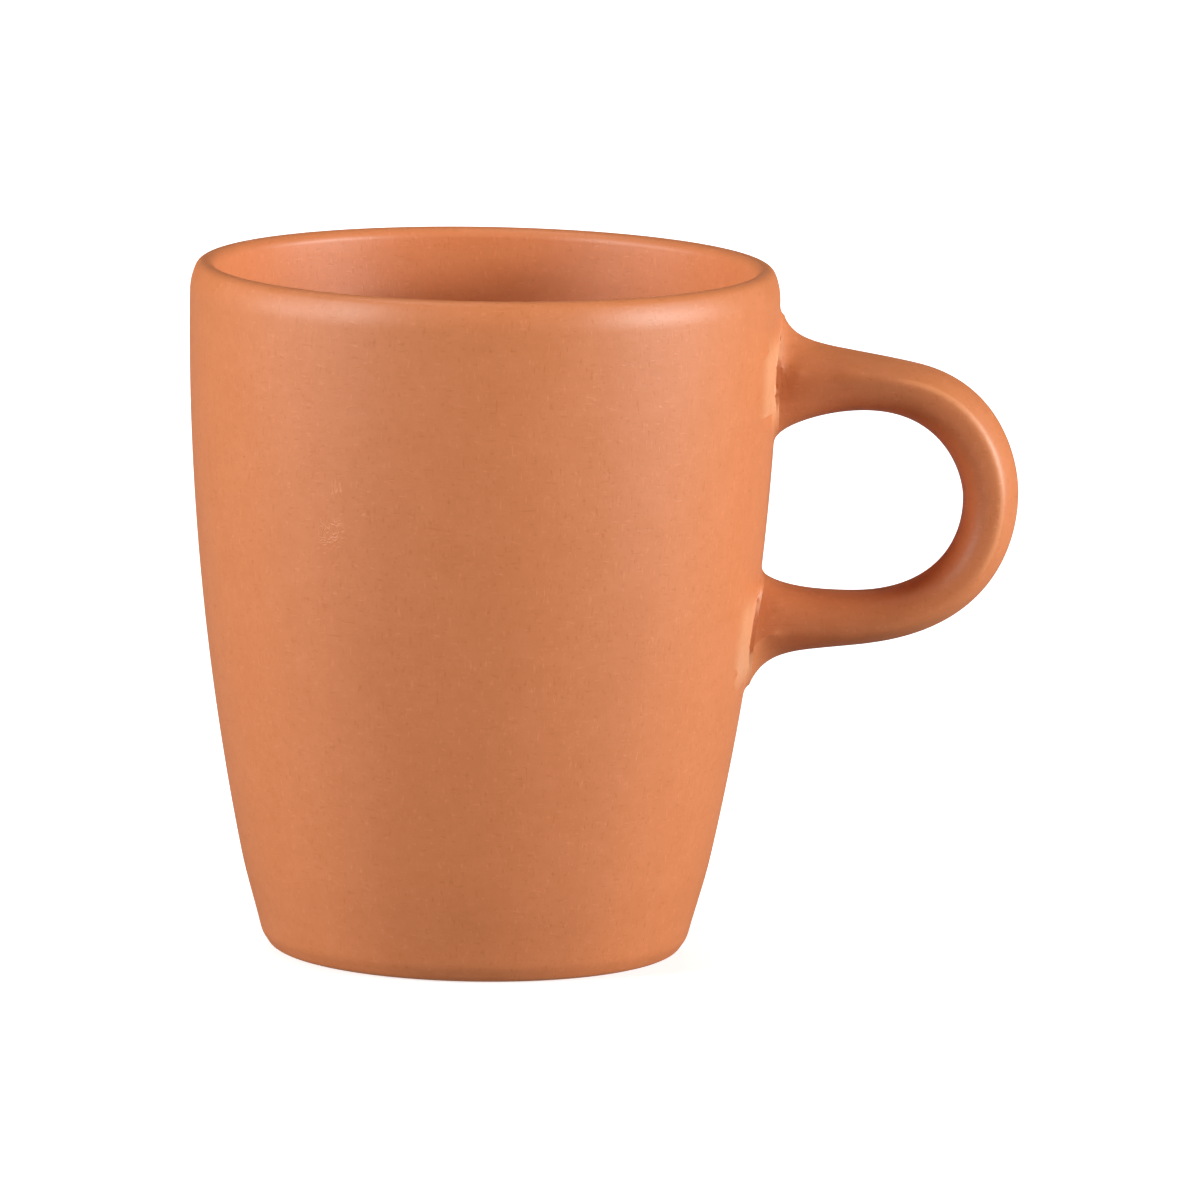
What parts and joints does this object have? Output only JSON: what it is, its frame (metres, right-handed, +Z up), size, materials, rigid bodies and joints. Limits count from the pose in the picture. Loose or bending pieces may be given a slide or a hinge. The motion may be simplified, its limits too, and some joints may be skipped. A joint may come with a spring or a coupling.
{
  "type": "espresso cup",
  "caption": "Small satin-glazed terracotta espresso cup with a softly bellied tapering wall, a rounded lip and a looped strap handle.",
  "frame": {"origin": "on the cup's axis, in the plane of the foot ring that it stands on", "axes": "+Z up along the cup's axis, +X out along the handle, +Y completing a right-handed set"},
  "size_m": [0.0776, 0.055, 0.0646],
  "materials": {
    "terracotta_glaze": "satin",
    "joint_slip": "satin"
  },
  "bodies": {
    "root": {"cup_body": "terracotta_glaze", "handle": "terracotta_glaze", "upper_slip_joint": "joint_slip", "lower_slip_joint": "joint_slip"}
  },
  "joints": []
}
